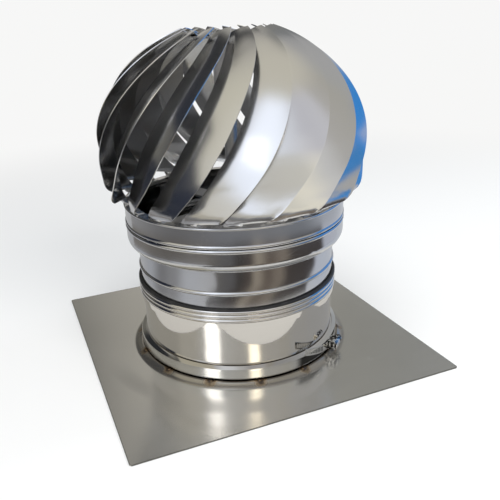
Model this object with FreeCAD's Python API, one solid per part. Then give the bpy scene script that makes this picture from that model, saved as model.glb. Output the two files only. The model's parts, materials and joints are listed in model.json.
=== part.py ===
import FreeCAD, Part
import math
import os
from FreeCAD import Vector

os.makedirs("parts", exist_ok=True)

# A wind-driven rotating exhaust cowl: a ball of eighteen curved louvre blades that turns on a fixed
# neck. The neck plugs into a short flue stub, and a band clamp holds the stub to a square roof plate.
# Millimetres, +Z up, origin at the middle of the plate's underside.

# Sheet thicknesses and running clearances
plate_thickness = 1.2
tube_sheet = 0.8
blade_sheet = 0.8
fit_gap = 0.2
plug_gap = 1.3
seal_gap = 0.3
ring_running_gap = 0.8
shaft_gap = 0.03

# Roof plate with the raised boss that carries the collar
plate_side = 400.0
plate_corner_radius = 3.0
boss_height = 3.8
boss_margin = 9.5
boss_flank_radius = 12.0
boss_skirt = 5.0

# Stub pipe and the flanged joint under the clamp
stub_radius = 123.5
collar_foot_width = 8.1
collar_height = 8.4
flange_width = 5.8
flange_straight = 5.4
flange_cone = 1.8
stub_wall_height = 51.6
weld_count = 14
weld_radius = 2.3
weld_first_angle = 232.4

# Socket at the top of the stub
socket_depth = 22.2
socket_bead_height = 5.4
socket_bead_bulge = 1.7
socket_bead_count = 3
seal_height = 3.6
seal_width = 3.5

# Band clamp with a worm screw
band_reach = 2.0
strap_sheet = 0.7
strap_gap = 0.05
strap_width = 9.6
closure_angle = 309.3
housing_length = 16.0
housing_wall = 0.9
worm_radius = 5.0
worm_gap = 0.25
worm_neck_length = 0.9
worm_neck_depth = 1.0
head_across_flats = 8.0
head_length = 6.2
head_collar_radius = 5.2
head_collar_thickness = 1.2
head_slot_width = 1.0
head_slot_depth = 1.6
strap_cover = 4.0
strap_bridge = 6.8
strap_ramp = 13.7
tail_length = 46.0
tail_rise = 13.0
tail_lift = 2.2
tail_curl = 1.3
slot_pitch = 3.4
slot_width = 1.8
slot_count = 10
slot_edge_margin = 1.5
slot_end_margin = 4.0

# Neck and flared bowl of the fixed head
neck_step = 0.5
neck_bead_rise = 19.7
neck_bead_height = 5.8
neck_bead_bulge = 1.9
crease_rise = 27.8
bowl_flare = 12.6
bowl_round = 13.0
bowl_bead_rise = 27.3
bowl_bead_height = 4.2
bowl_bead_bulge = 0.9
lip_step = 4.0
lip_height = 15.9

# Rotor ring
ring_step = 0.2
ring_height = 24.8
ring_bead_height = 4.4
ring_bead_bulge = 1.0
ring_rim_height = 3.2
ring_rim_bulge = 1.1
ring_flange_width = 11.4

# Louvre blades: the raised edge lies on a flattened ball
blade_count = 18
blade_phase = 8.0
ball_overhang = 25.0
ball_lift = 71.1
ball_drop = 121.1
ball_rise = 135.0
lower_roundness = 0.74
upper_roundness = 1.067
bottom_angle = -23.5
top_angle = 69.3
twist_lift = 32.4
twist_rate = 27.3
twist_hook = 20.7
opening_bottom = 19.0
opening_top = 8.3
opening_bulge = 4.0
span_foot = 19.8
span_tip = 24.3
span_dip = 4.8
blade_crown = 0.055
foot_hollow = 0.09
foot_hollow_reach = 0.18
foot_hollow_power = 1.5
blade_sections = 10
foot_inset = 2.8
tip_overhang = 1.6
tuck_power = 6
foot_tongue_width = 0.45
foot_bend_inset = 0.2
tongue_edge_margin = 0.6
tip_tongue_width = 0.6
tip_bend_inset = 4.0
tip_tongue_length = 8.5
tongue_bite = 0.004

# Cross bracket and axle
bar_below_lip = 1.0
bar_width = 25.0
bar_thickness = 3.0
bar_tab_drop = 12.0
bar_angle = 22.5
bar_seat_gap = 0.1
bar_rivet_drop = 8.0
bar_rivet_offset = 7.0
journal_radius = 6.0
axle_shoulder = 2.0
axle_nut_flats = 18.0
axle_nut_height = 8.0
axle_end_reach = 1.5
washer_width = 6.0
washer_thickness = 1.5

# Ball bearings, two alike
bearing_outer_radius = 14.0
bearing_width = 8.0
bearing_spacing = 34.0
land_reach = 1.65
ball_bearing_radius = 2.38
groove_gap = 0.05
balls_per_bearing = 8
cage_wall = 0.8
cage_height = 6.0

# Hub, top disc and cap
disc_rise = 117.2
disc_radius = 49.0
disc_thickness = 0.8
disc_hole_inset = 0.5
disc_above_axle = 2.7
hub_wall = 3.5
hub_flange_width = 9.5
hub_flange_thickness = 3.0
hub_land_depth = 1.5
hub_below_bearing = 3.0
circlip_thickness = 1.0
circlip_depth = 0.8
circlip_width = 3.0
circlip_opening = 24.0
circlip_play = 0.05
cap_brim = 3.0
cap_height = 4.6
cap_sheet = 0.8
cap_skirt = 1.5
cap_slope = 3.0
hub_screw_count = 4
hub_screw_radius = 2.0
hub_screw_head_radius = 3.6
hub_screw_head_height = 2.0
hub_screw_reach = 2.0
hub_screw_first_angle = 45.0

# Rivets
rivet_radius = 1.6
rivet_head_radius = 3.1
rivet_head_height = 1.1
rivet_tail = 1.4
head_taper = 0.6
drill_length = 30.0
seat_drill_length = 4.0

# Radii that follow, from the stub outwards
boss_top_radius = stub_radius + boss_margin
foot_radius = stub_radius + collar_foot_width
bore_radius = stub_radius - tube_sheet
flange_radius = stub_radius + flange_width
band_radius = flange_radius + fit_gap + tube_sheet
strap_inner_radius = band_radius + strap_gap
strap_radius = strap_inner_radius + strap_sheet
worm_axis_radius = strap_radius + strap_sheet + worm_gap + worm_radius
strap_start_angle = math.degrees((housing_length / 2 + strap_cover) / strap_radius)
neck_radius = stub_radius + neck_step
socket_bore = neck_radius + plug_gap
socket_radius = socket_bore + tube_sheet
bowl_radius = neck_radius + bowl_flare
lip_radius = bowl_radius - lip_step
ring_radius = bowl_radius - ring_step
ring_flange_inner = ring_radius - ring_flange_width
ball_radius = ring_radius + ball_overhang

# Levels that follow, from the plate upwards
plate_top = plate_thickness
boss_top = plate_top + boss_height
foot_top = boss_top + tube_sheet
flange_middle_z = foot_top + collar_height
flange_top = flange_middle_z + flange_straight + flange_cone
socket_step_z = flange_top + stub_wall_height
socket_top_z = socket_step_z + socket_depth
neck_bead_z = socket_top_z + neck_bead_rise
crease_z = neck_bead_z + crease_rise
bowl_bead_z = crease_z + bowl_bead_rise
bowl_bead_top_z = bowl_bead_z + bowl_bead_height / 2
lip_top_z = bowl_bead_top_z + lip_height
upper_bar_top_z = lip_top_z - bar_below_lip
lower_bar_top_z = upper_bar_top_z - bar_thickness
ring_bottom_z = bowl_bead_top_z + ring_running_gap
ring_top_z = ring_bottom_z + ring_height
ball_middle_z = ring_top_z + ball_lift
twist_height = ball_middle_z + twist_lift
disc_top_z = ball_middle_z + disc_rise
disc_bottom_z = disc_top_z - disc_thickness

# The axle's end hangs under the disc, and both bearings are set from there downwards
axle_top_z = disc_bottom_z - disc_above_axle
lock_nut_z = axle_top_z - axle_end_reach - axle_nut_height
upper_bearing_z = lock_nut_z - bearing_width
shoulder_z = upper_bearing_z - bearing_spacing
axle_radius = journal_radius + axle_shoulder
washer_radius = journal_radius + washer_width
ball_pitch_radius = (journal_radius + bearing_outer_radius) / 2
inner_land_radius = ball_pitch_radius - land_reach
outer_land_radius = ball_pitch_radius + land_reach
hub_radius = bearing_outer_radius + hub_wall
hub_flange_radius = hub_radius + hub_flange_width
hub_screw_circle = (hub_radius + hub_flange_radius) / 2
disc_hole_radius = bearing_outer_radius - disc_hole_inset
cap_radius = disc_hole_radius + cap_brim

# Where the blades' tucked edges and tongues lie on the ring and on the disc
foot_tuck_radius = ring_radius - foot_inset
foot_tongue_bend = foot_tuck_radius - foot_bend_inset
foot_tongue_end = ring_flange_inner + tongue_edge_margin
tip_tuck_radius = disc_radius + tip_overhang
tip_tongue_bend = disc_radius - tip_bend_inset
tip_tongue_end = tip_tongue_bend - tip_tongue_length

nodes = {}


def point(radius, z):
    return Vector(radius, 0, z)


def revolve(face):
    return face.revolve(Vector(0, 0, 0), Vector(0, 0, 1), 360)


def polygon_ring(corners):
    """Solid of revolution from a closed outline of (radius, z) corners."""
    outline = Part.makePolygon([point(r, z) for r, z in corners + corners[:1]])
    return revolve(Part.Face(outline))


def sheet_ring(stations, thickness):
    """Spun sheet. Stations are (radius, z) or (radius, z, bow) along its outer face, walked with the metal
    on the left; bow is how far the stretch that ends there bends away to the right."""
    places = [Vector(station[0], 0, station[1]) for station in stations]
    bows = [station[2] if len(station) > 2 else 0.0 for station in stations]
    runs = [(end - start).normalize() for start, end in zip(places, places[1:])]
    lefts = [Vector(-run.z, 0, run.x) for run in runs]
    inner = [places[0] + lefts[0] * thickness]
    for corner, before, after in zip(places[1:-1], lefts, lefts[1:]):
        inner.append(corner + (before + after) * (thickness / (1 + before.dot(after))))
    inner.append(places[-1] + lefts[-1] * thickness)

    def stretch(start, end, bow, left):
        if bow == 0:
            return Part.makeLine(start, end)
        return Part.Arc(start, (start + end) * 0.5 - left * bow, end).toShape()

    face_side = [stretch(*piece) for piece in zip(places, places[1:], bows[1:], lefts)]
    back_side = [stretch(*piece) for piece in zip(inner, inner[1:], bows[1:], lefts)]
    ends = [Part.makeLine(places[0], inner[0]), Part.makeLine(places[-1], inner[-1])]
    outline = Part.Wire(Part.__sortEdges__(face_side + back_side + ends))
    return revolve(Part.Face(outline))


def turned(shape, angle):
    copy = shape.copy()
    copy.rotate(Vector(0, 0, 0), Vector(0, 0, 1), angle)
    return copy


def around(shape, count, first_angle=0.0):
    return [turned(shape, first_angle + 360.0 * index / count) for index in range(count)]


def sector(inner, outer, low_z, high_z, start_angle, sweep):
    """Part of a flat ring between two radii, two heights and two angles."""
    outline = Part.makePolygon([
        point(inner, low_z), point(outer, low_z), point(outer, high_z), point(inner, high_z), point(inner, low_z)])
    body = Part.Face(outline).revolve(Vector(0, 0, 0), Vector(0, 0, 1), sweep)
    return turned(body, start_angle)


def tube(inner, outer, low_z, high_z):
    outer_solid = Part.makeCylinder(outer, high_z - low_z, Vector(0, 0, low_z))
    return outer_solid.cut(Part.makeCylinder(inner, high_z - low_z, Vector(0, 0, low_z)))


def hexagon(across_flats, height):
    corner = across_flats / math.sqrt(3)
    corners = [Vector(corner * math.cos(math.radians(60 * k)), corner * math.sin(math.radians(60 * k)), 0)
               for k in range(7)]
    return Part.Face(Part.makePolygon(corners)).extrude(Vector(0, 0, height))


def rivet(grip):
    """Blind rivet along +Z: the head stands on z = 0 and the shank runs down through the grip."""
    head = Part.makeCone(rivet_head_radius, rivet_head_radius * head_taper, rivet_head_height)
    shank_length = grip + rivet_tail
    shank = Part.makeCylinder(rivet_radius, shank_length, Vector(0, 0, -shank_length))
    return head.fuse(shank).removeSplitter()


# Roof plate
def make_base_plate():
    half = plate_side / 2
    flat = Part.makeBox(plate_side, plate_side, plate_thickness, Vector(-half, -half, 0))
    corners = [edge for edge in flat.Edges if edge.BoundBox.XLength < 0.1 and edge.BoundBox.YLength < 0.1]
    flat = flat.makeFillet(plate_corner_radius, corners)
    flank_sweep = math.acos(1 - boss_height / boss_flank_radius)
    boss_foot_radius = boss_top_radius + boss_flank_radius * math.sin(flank_sweep)
    flat = flat.cut(Part.makeCylinder(boss_foot_radius + boss_skirt, plate_thickness))
    boss = sheet_ring([
        (boss_foot_radius + boss_skirt, plate_top),
        (boss_foot_radius, plate_top),
        (boss_top_radius, boss_top, boss_flank_radius * (math.cos(flank_sweep / 2) - 1)),
        (bore_radius, boss_top),
    ], plate_thickness)
    return flat.fuse(boss).removeSplitter()


base_plate = make_base_plate()
nodes["base_plate"] = base_plate


# Collar that stands on the boss, and the stub above it: mirror-image flanges meet in the clamp
collar_waist_z = flange_middle_z - flange_straight - flange_cone
base_collar = sheet_ring([
    (foot_radius, foot_top),
    (stub_radius, foot_top),
    (stub_radius, collar_waist_z),
    (flange_radius, flange_middle_z - flange_straight),
    (flange_radius, flange_middle_z),
], tube_sheet)
nodes["base_collar"] = base_collar


def make_collar_welds():
    blob = Part.makeSphere(weld_radius, Vector(foot_radius, 0, boss_top))
    blob = blob.cut(base_plate).cut(base_collar)
    blob = max(blob.Solids, key=lambda solid: solid.Volume)
    return Part.makeCompound(around(blob, weld_count, weld_first_angle))


nodes["collar_welds"] = make_collar_welds()


def make_stub_pipe():
    beads_low = socket_top_z - socket_bead_count * socket_bead_height
    stations = [
        (flange_radius, flange_middle_z),
        (flange_radius, flange_middle_z + flange_straight),
        (stub_radius, flange_top),
        (stub_radius, socket_step_z - tube_sheet),
        (socket_radius, socket_step_z - tube_sheet),
        (socket_radius, beads_low),
    ]
    for index in range(1, socket_bead_count + 1):
        stations.append((socket_radius, beads_low + index * socket_bead_height, socket_bead_bulge))
    return sheet_ring(stations, tube_sheet)


nodes["stub_pipe"] = make_stub_pipe()
nodes["socket_seal"] = tube(neck_radius + seal_gap, neck_radius + seal_gap + seal_width,
                            socket_top_z, socket_top_z + seal_height)


# Band clamp: a channel over both flanges, an outer strap, and the worm housing that closes it
def make_clamp_band():
    slope = flange_cone / flange_width
    rise = (band_radius - stub_radius - band_reach) * slope
    top = flange_middle_z + flange_straight + tube_sheet + fit_gap
    bottom = 2 * flange_middle_z - top
    return sheet_ring([
        (stub_radius + band_reach, bottom - rise),
        (band_radius, bottom),
        (band_radius, top),
        (stub_radius + band_reach, top + rise),
    ], tube_sheet)


nodes["clamp_band"] = make_clamp_band()


def polar(radius, angle, z=0.0):
    return Vector(radius * math.cos(math.radians(angle)), radius * math.sin(math.radians(angle)), z)


def strap_loop():
    """One turn of strap that starts under the housing, then ramps up and passes over its own start."""
    low = flange_middle_z - strap_width / 2
    high = flange_middle_z + strap_width / 2
    climb_angle = strap_start_angle + math.degrees(strap_bridge / strap_radius)
    end_angle = climb_angle + math.degrees(strap_ramp / strap_radius)
    first = sector(strap_inner_radius, strap_radius, low, high, end_angle, 360.0 - end_angle + strap_start_angle)
    over = sector(strap_radius, strap_radius + strap_sheet, low, high,
                  -strap_start_angle, strap_start_angle + climb_angle)
    ramp_corners = [polar(strap_inner_radius, end_angle), polar(strap_radius, end_angle),
                    polar(strap_radius + strap_sheet, climb_angle), polar(strap_radius, climb_angle)]
    ramp = Part.Face(Part.makePolygon(ramp_corners + ramp_corners[:1])).extrude(Vector(0, 0, strap_width))
    ramp.translate(Vector(0, 0, low))
    return first.fuse([ramp, over])


def strap_tail():
    """Free end of the strap: it leaves the housing, climbs and lifts away, with worm slots across it."""
    sweep = math.degrees(tail_length / strap_radius)
    sections = []
    steps = 5
    for index in range(steps):
        share = index / (steps - 1)
        angle = -strap_start_angle - sweep * share
        inner = strap_radius + tail_lift * share * share
        middle = flange_middle_z + tail_rise * share ** tail_curl
        corners = [polar(inner, angle, middle - strap_width / 2),
                   polar(inner + strap_sheet, angle, middle - strap_width / 2),
                   polar(inner + strap_sheet, angle, middle + strap_width / 2),
                   polar(inner, angle, middle + strap_width / 2)]
        sections.append(Part.makePolygon(corners + corners[:1]))
    tail = Part.makeLoft(sections, True, False)
    slot_length = strap_width - 2 * slot_edge_margin
    for index in range(slot_count):
        share = 1 - (slot_end_margin + index * slot_pitch) / tail_length
        angle = -strap_start_angle - sweep * share
        middle = flange_middle_z + tail_rise * share ** tail_curl
        slot = Part.makeBox(4 * strap_sheet + tail_lift, slot_width, slot_length,
                            Vector(strap_radius - strap_sheet, -slot_width / 2, middle - slot_length / 2))
        tail = tail.cut(turned(slot, angle))
    return tail


def make_clamp_strap():
    return turned(strap_loop().fuse(strap_tail()).removeSplitter(), closure_angle)


nodes["clamp_strap"] = make_clamp_strap()


def along_tangent(shape):
    """Place a shape built along +Z at the worm axis, pointing the way angles grow."""
    shape.rotate(Vector(0, 0, 0), Vector(1, 0, 0), -90)
    shape.translate(Vector(worm_axis_radius, 0, flange_middle_z))
    return turned(shape, closure_angle)


def make_worm_housing():
    inner = worm_radius + worm_gap
    outer = inner + housing_wall
    leg = worm_axis_radius - band_radius - shaft_gap
    arch = Part.makeCylinder(outer, housing_length, Vector(0, 0, -housing_length / 2))
    legs = Part.makeBox(leg, 2 * outer, housing_length, Vector(-leg, -outer, -housing_length / 2))
    body = arch.fuse(legs)
    bore = Part.makeCylinder(inner, 2 * housing_length, Vector(0, 0, -housing_length))
    under = Part.makeBox(2 * outer, 2 * inner, 2 * housing_length, Vector(-2 * outer, -inner, -housing_length))
    body = body.cut(bore).cut(under)
    body = body.cut(Part.makeBox(2 * outer, 4 * outer, 2 * housing_length,
                                 Vector(-2 * outer - leg, -2 * outer, -housing_length)))
    return along_tangent(body)


nodes["worm_housing"] = make_worm_housing()


def make_worm_screw():
    """Plain-bodied worm with a waist at the housing's end and a slotted, collared hexagon head outside it."""
    end_play = worm_gap
    shank_end = housing_length / 2 - end_play
    head_start = housing_length / 2 + worm_neck_length - end_play
    shank = Part.makeCylinder(worm_radius, 2 * shank_end, Vector(0, 0, -shank_end))
    waist = Part.makeCylinder(worm_radius - worm_neck_depth, head_start - shank_end, Vector(0, 0, shank_end))
    head = hexagon(head_across_flats, head_length)
    head.translate(Vector(0, 0, head_start))
    collar = Part.makeCylinder(head_collar_radius, head_collar_thickness, Vector(0, 0, head_start))
    slot = Part.makeBox(2 * head_across_flats, head_slot_width, head_slot_depth,
                        Vector(-head_across_flats, -head_slot_width / 2, head_start + head_length - head_slot_depth))
    return along_tangent(shank.fuse([waist, collar, head]).removeSplitter().cut(slot))


nodes["worm_screw"] = make_worm_screw()


# Fixed head: neck, bowl and inner lip in one spun sheet
def make_neck():
    crease_angle = math.acos((neck_radius - bowl_radius + bowl_round) / bowl_round)
    bowl_wall_z = crease_z + bowl_round * math.sin(crease_angle)
    bead_low = neck_bead_z - neck_bead_height / 2
    bowl_bead_low = bowl_bead_z - bowl_bead_height / 2
    return sheet_ring([
        (neck_radius, socket_step_z),
        (neck_radius, bead_low),
        (neck_radius, bead_low + neck_bead_height, neck_bead_bulge),
        (neck_radius, crease_z),
        (bowl_radius, bowl_wall_z, bowl_round * (1 - math.cos(crease_angle / 2))),
        (bowl_radius, bowl_bead_low),
        (bowl_radius, bowl_bead_low + bowl_bead_height, bowl_bead_bulge),
        (lip_radius, bowl_bead_low + bowl_bead_height),
        (lip_radius, lip_top_z),
    ], tube_sheet)


# Cross bracket: two bars riveted inside the lip, one over the other
bar_outer = lip_radius - tube_sheet - bar_seat_gap


def make_bar(top_z, angle):
    bar = Part.makeBox(2 * bar_outer, bar_width, bar_thickness,
                       Vector(-bar_outer, -bar_width / 2, top_z - bar_thickness))
    bar = bar.common(Part.makeCylinder(bar_outer, bar_thickness, Vector(0, 0, top_z - bar_thickness)))
    ring = tube(bar_outer - bar_thickness, bar_outer, top_z - bar_tab_drop, top_z)
    strip = Part.makeBox(2 * bar_outer, bar_width, bar_tab_drop,
                         Vector(-bar_outer, -bar_width / 2, top_z - bar_tab_drop))
    bar = bar.fuse(ring.common(strip)).removeSplitter()
    bar = bar.cut(Part.makeCylinder(journal_radius + shaft_gap, 3 * bar_thickness,
                                    Vector(0, 0, top_z - 2 * bar_thickness)))
    return turned(bar, angle)


def radial_rivet(angle_on_lip, z, grip):
    """Rivet whose head lies on the outside of the lip."""
    piece = rivet(grip)
    piece.rotate(Vector(0, 0, 0), Vector(0, 1, 0), 90)
    piece.translate(Vector(lip_radius, 0, z))
    return turned(piece, angle_on_lip)


def radial_hole(angle_on_lip, z):
    hole = Part.makeCylinder(rivet_radius, drill_length, Vector(0, 0, -drill_length / 2))
    hole.rotate(Vector(0, 0, 0), Vector(0, 1, 0), 90)
    hole.translate(Vector(lip_radius, 0, z))
    return turned(hole, angle_on_lip)


bars = [("lower_cross_bar", lower_bar_top_z, bar_angle), ("upper_cross_bar", upper_bar_top_z, bar_angle + 90)]
neck = make_neck()
rivet_swing = math.degrees(bar_rivet_offset / lip_radius)
bar_rivets = []
for bar_name, bar_top, bar_direction in bars:
    bar = make_bar(bar_top, bar_direction)
    for side in (0, 180):
        for swing in (-rivet_swing, rivet_swing):
            place = (bar_direction + side + swing, bar_top - bar_rivet_drop)
            hole = radial_hole(*place)
            bar = bar.cut(hole)
            neck = neck.cut(hole)
            bar_rivets.append(radial_rivet(*place, tube_sheet + bar_seat_gap + bar_thickness))
    nodes[bar_name] = bar
nodes["neck"] = neck
nodes["bar_rivets"] = Part.makeCompound(bar_rivets)


# Axle with its nuts and washers
under_bars_z = lower_bar_top_z - bar_thickness
foot_nut_z = under_bars_z - washer_thickness - axle_nut_height
axle_foot_z = foot_nut_z - axle_end_reach
axle = Part.makeCylinder(journal_radius, axle_top_z - axle_foot_z, Vector(0, 0, axle_foot_z))
axle = axle.fuse(Part.makeCylinder(axle_radius, shoulder_z - upper_bar_top_z, Vector(0, 0, upper_bar_top_z)))
nodes["axle"] = axle.removeSplitter()


def nut(low_z):
    body = hexagon(axle_nut_flats, axle_nut_height)
    body = body.cut(Part.makeCylinder(journal_radius + shaft_gap, axle_nut_height))
    body.translate(Vector(0, 0, low_z))
    return body


nodes["axle_nuts"] = Part.makeCompound([nut(foot_nut_z), nut(lock_nut_z)])
nodes["foot_washer"] = tube(journal_radius + shaft_gap, washer_radius,
                            under_bars_z - washer_thickness, under_bars_z)


# Ball bearings
def bearing_rings(low_z):
    middle = low_z + bearing_width / 2
    groove = Part.makeTorus(ball_pitch_radius, ball_bearing_radius + groove_gap, Vector(0, 0, middle))
    inner = tube(journal_radius + shaft_gap, inner_land_radius, low_z, low_z + bearing_width)
    outer = tube(outer_land_radius, bearing_outer_radius, low_z, low_z + bearing_width)
    return inner.cut(groove), outer.cut(groove)


def bearing_balls(low_z):
    middle = low_z + bearing_width / 2
    ball = Part.makeSphere(ball_bearing_radius, Vector(ball_pitch_radius, 0, middle))
    pocket = Part.makeCylinder(ball_bearing_radius + groove_gap, ball_pitch_radius,
                               Vector(ball_pitch_radius / 2, 0, middle), Vector(1, 0, 0))
    cage = tube(ball_pitch_radius - cage_wall / 2, ball_pitch_radius + cage_wall / 2,
                middle - cage_height / 2, middle + cage_height / 2)
    for hollow in around(pocket, balls_per_bearing):
        cage = cage.cut(hollow)
    return Part.makeCompound(around(ball, balls_per_bearing) + cage.Solids)


for bearing_name, bearing_z in (("lower_bearing", shoulder_z), ("upper_bearing", upper_bearing_z)):
    inner_ring, outer_ring = bearing_rings(bearing_z)
    nodes[bearing_name + "_inner_ring"] = inner_ring
    nodes[bearing_name + "_outer_ring"] = outer_ring
    nodes[bearing_name + "_balls"] = bearing_balls(bearing_z)

nodes["bearing_spacer"] = tube(journal_radius + shaft_gap, inner_land_radius,
                               shoulder_z + bearing_width, upper_bearing_z)


# Hub that hangs under the top disc and holds both bearings
def make_hub():
    bore = bearing_outer_radius + shaft_gap
    bottom = shoulder_z - hub_below_bearing
    land = bearing_outer_radius - hub_land_depth
    low_land = shoulder_z + bearing_width
    body = polygon_ring([
        (bore, bottom), (hub_radius, bottom), (hub_radius, disc_bottom_z - hub_flange_thickness),
        (hub_flange_radius, disc_bottom_z - hub_flange_thickness), (hub_flange_radius, disc_bottom_z),
        (bore, disc_bottom_z), (bore, upper_bearing_z), (land, upper_bearing_z), (land, low_land), (bore, low_land)])
    groove = tube(bore - circlip_depth, bore + circlip_depth,
                  shoulder_z - circlip_thickness - 2 * circlip_play, shoulder_z)
    body = body.cut(groove)
    for hole in hub_screw_holes():
        body = body.cut(hole)
    return body


def hub_screw_holes():
    hole = Part.makeCylinder(hub_screw_radius + shaft_gap, drill_length,
                             Vector(hub_screw_circle, 0, disc_bottom_z - drill_length / 2))
    return around(hole, hub_screw_count, hub_screw_first_angle)


nodes["hub"] = make_hub()
circlip_outer = bearing_outer_radius + circlip_depth - circlip_play
circlip_top = shoulder_z - circlip_play
circlip = tube(circlip_outer - circlip_width, circlip_outer, circlip_top - circlip_thickness, circlip_top)
circlip_gap = sector(journal_radius, hub_radius, circlip_top - 2 * circlip_thickness, shoulder_z,
                     -circlip_opening / 2, circlip_opening)
nodes["circlip"] = circlip.cut(circlip_gap)


def make_hub_screw():
    low = disc_bottom_z - hub_flange_thickness - hub_screw_reach
    body = Part.makeCylinder(hub_screw_radius, disc_top_z - low, Vector(hub_screw_circle, 0, low))
    head = Part.makeCone(hub_screw_head_radius, hub_screw_head_radius * head_taper, hub_screw_head_height,
                         Vector(hub_screw_circle, 0, disc_top_z))
    return body.fuse(head).removeSplitter()


nodes["hub_screws"] = Part.makeCompound(around(make_hub_screw(), hub_screw_count, hub_screw_first_angle))


# Rotor ring: beaded lower edge, rolled rim and an inward flange for the blade feet
def make_rotor_ring():
    return sheet_ring([
        (ring_radius, ring_bottom_z),
        (ring_radius, ring_bottom_z + ring_bead_height, ring_bead_bulge),
        (ring_radius, ring_top_z - ring_rim_height),
        (ring_radius, ring_top_z, ring_rim_bulge),
        (ring_flange_inner, ring_top_z),
    ], tube_sheet)


# Louvre blade
def edge_on_ball(angle):
    """Radius, height and outward direction of the flattened ball at an angle above its equator."""
    if angle < 0:
        height, power = ball_drop, lower_roundness
    else:
        height, power = ball_rise, upper_roundness
    side = math.copysign(1.0, angle)
    cosine = math.cos(math.radians(angle))
    sine = abs(math.sin(math.radians(angle)))
    radius = ball_radius * cosine ** power
    z = ball_middle_z + side * height * sine ** power
    out_r = cosine ** (2 - power) / ball_radius
    out_z = side * sine ** (2 - power) / height
    size = math.hypot(out_r, out_z)
    return radius, z, out_r / size, out_z / size


def twist_at(z):
    rise = (z - twist_height) / ball_rise
    return twist_rate * rise + twist_hook * rise ** 3


def tucked_place(share):
    """Radius and height of the tucked-in edge before it is drawn onto its seats."""
    radius, z, out_r, out_z = edge_on_ball(bottom_angle + (top_angle - bottom_angle) * share)
    depth = opening_bottom * (1 - share) + opening_top * share + 4 * opening_bulge * share * (1 - share)
    return radius - depth * out_r, z - depth * out_z


foot_place = tucked_place(0.0)
tip_place = tucked_place(1.0)
foot_pull = (foot_tuck_radius - foot_place[0], ring_top_z + blade_sheet - foot_place[1])
tip_pull = (tip_tuck_radius - tip_place[0], disc_top_z + blade_sheet - tip_place[1])


def blade_edges(share):
    """Raised edge point and tucked-in edge point at a share of the way from foot to tip."""
    radius, z = edge_on_ball(bottom_angle + (top_angle - bottom_angle) * share)[:2]
    turn = twist_at(z)
    span = span_foot * (1 - share) + span_tip * share - 4 * span_dip * share * (1 - share)
    tuck_radius, tuck_z = tucked_place(share)
    near_foot = (1 - share) ** tuck_power
    near_tip = share ** tuck_power
    tuck_radius += foot_pull[0] * near_foot + tip_pull[0] * near_tip
    tuck_z += foot_pull[1] * near_foot + tip_pull[1] * near_tip
    return polar(radius, turn, z), polar(tuck_radius, turn - span, tuck_z)


def blade_frame(share):
    """Tucked point, raised point, outward normal and bow of the section at a share of the length."""
    raised, tucked = blade_edges(share)
    step = 0.01
    ahead = blade_edges(min(share + step, 1.0))
    behind = blade_edges(max(share - step, 0.0))
    lengthwise = (ahead[0] + ahead[1]) - (behind[0] + behind[1])
    across = raised - tucked
    normal = lengthwise.cross(across) * -1
    normal.normalize()
    hollow = max(0.0, 1 - share / foot_hollow_reach) ** foot_hollow_power
    bow = across.Length * (blade_crown - (blade_crown + foot_hollow) * hollow)
    return tucked, raised, normal, bow


def blade_section(share):
    """Thin closed outline across the blade, bowed like the rolled sheet."""
    tucked, raised, normal, bow = blade_frame(share)
    inward = normal * -blade_sheet
    top = (raised + tucked) * 0.5 + normal * bow
    outer = Part.Arc(tucked, top, raised).toShape()
    inner = Part.Arc(raised + inward, top + inward, tucked + inward).toShape()
    return Part.Wire([outer, Part.makeLine(raised, raised + inward), inner,
                      Part.makeLine(tucked + inward, tucked)])


def angle_of(place):
    return math.degrees(math.atan2(place.y, place.x))


def tongue(share, width, seat_z, bend_radius, end_radius, folds_under):
    """Strip at the tucked side of a blade's end that is drawn down to its seat and lies flat on it."""
    tucked, raised, normal, bow = blade_frame(share)
    inward = normal * -blade_sheet
    rise = 4 * bow * width * (1 - width)
    side = tucked + (raised - tucked) * width + normal * rise
    start = [tucked, side, side + inward, tucked + inward]
    angles = (angle_of(tucked), angle_of(side))
    skin, back = (0.0, blade_sheet) if folds_under else (blade_sheet, 0.0)
    mitre = blade_sheet if folds_under else 0.0

    def flat(radius, setback):
        return [polar(radius, angles[0], seat_z + skin), polar(radius, angles[1], seat_z + skin),
                polar(radius - setback, angles[1], seat_z + back), polar(radius - setback, angles[0], seat_z + back)]

    outlines = [start, flat(bend_radius, mitre), flat(end_radius, 0.0)]
    wires = [Part.makePolygon(corners + corners[:1]) for corners in outlines]
    return Part.makeLoft(wires, True, True), sum(angles) / 2


def make_blade():
    """One louvre blade with its two tongues drilled, and the angles of the two rivets."""
    sections = [blade_section(index / (blade_sections - 1)) for index in range(blade_sections)]
    sheet = Part.makeLoft(sections, True, False)
    foot, foot_angle = tongue(tongue_bite, foot_tongue_width, ring_top_z,
                              foot_tongue_bend, foot_tongue_end, True)
    tip, tip_angle = tongue(1 - tongue_bite, tip_tongue_width, disc_top_z,
                            tip_tongue_bend, tip_tongue_end, False)
    blade = sheet.fuse([foot, tip])
    blade = blade.cut(seat_hole(foot_rivet_circle, foot_angle, ring_top_z))
    blade = blade.cut(seat_hole(tip_rivet_circle, tip_angle, disc_top_z))
    return blade, foot_angle, tip_angle


# Rivets through the tongues, the ring's flange and the top disc
foot_rivet_circle = (foot_tongue_end + foot_tongue_bend) / 2 - blade_sheet
tip_rivet_circle = (tip_tongue_end + tip_tongue_bend) / 2


def seat_hole(circle, angle, z):
    hole = Part.makeCylinder(rivet_radius, seat_drill_length, Vector(circle, 0, z - seat_drill_length / 2))
    return turned(hole, angle)


def seat_rivets(circle, angle, z, grip):
    piece = rivet(grip + blade_sheet)
    piece.translate(Vector(circle, 0, z + blade_sheet))
    return Part.makeCompound(around(piece, blade_count, blade_phase + angle))


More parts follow.
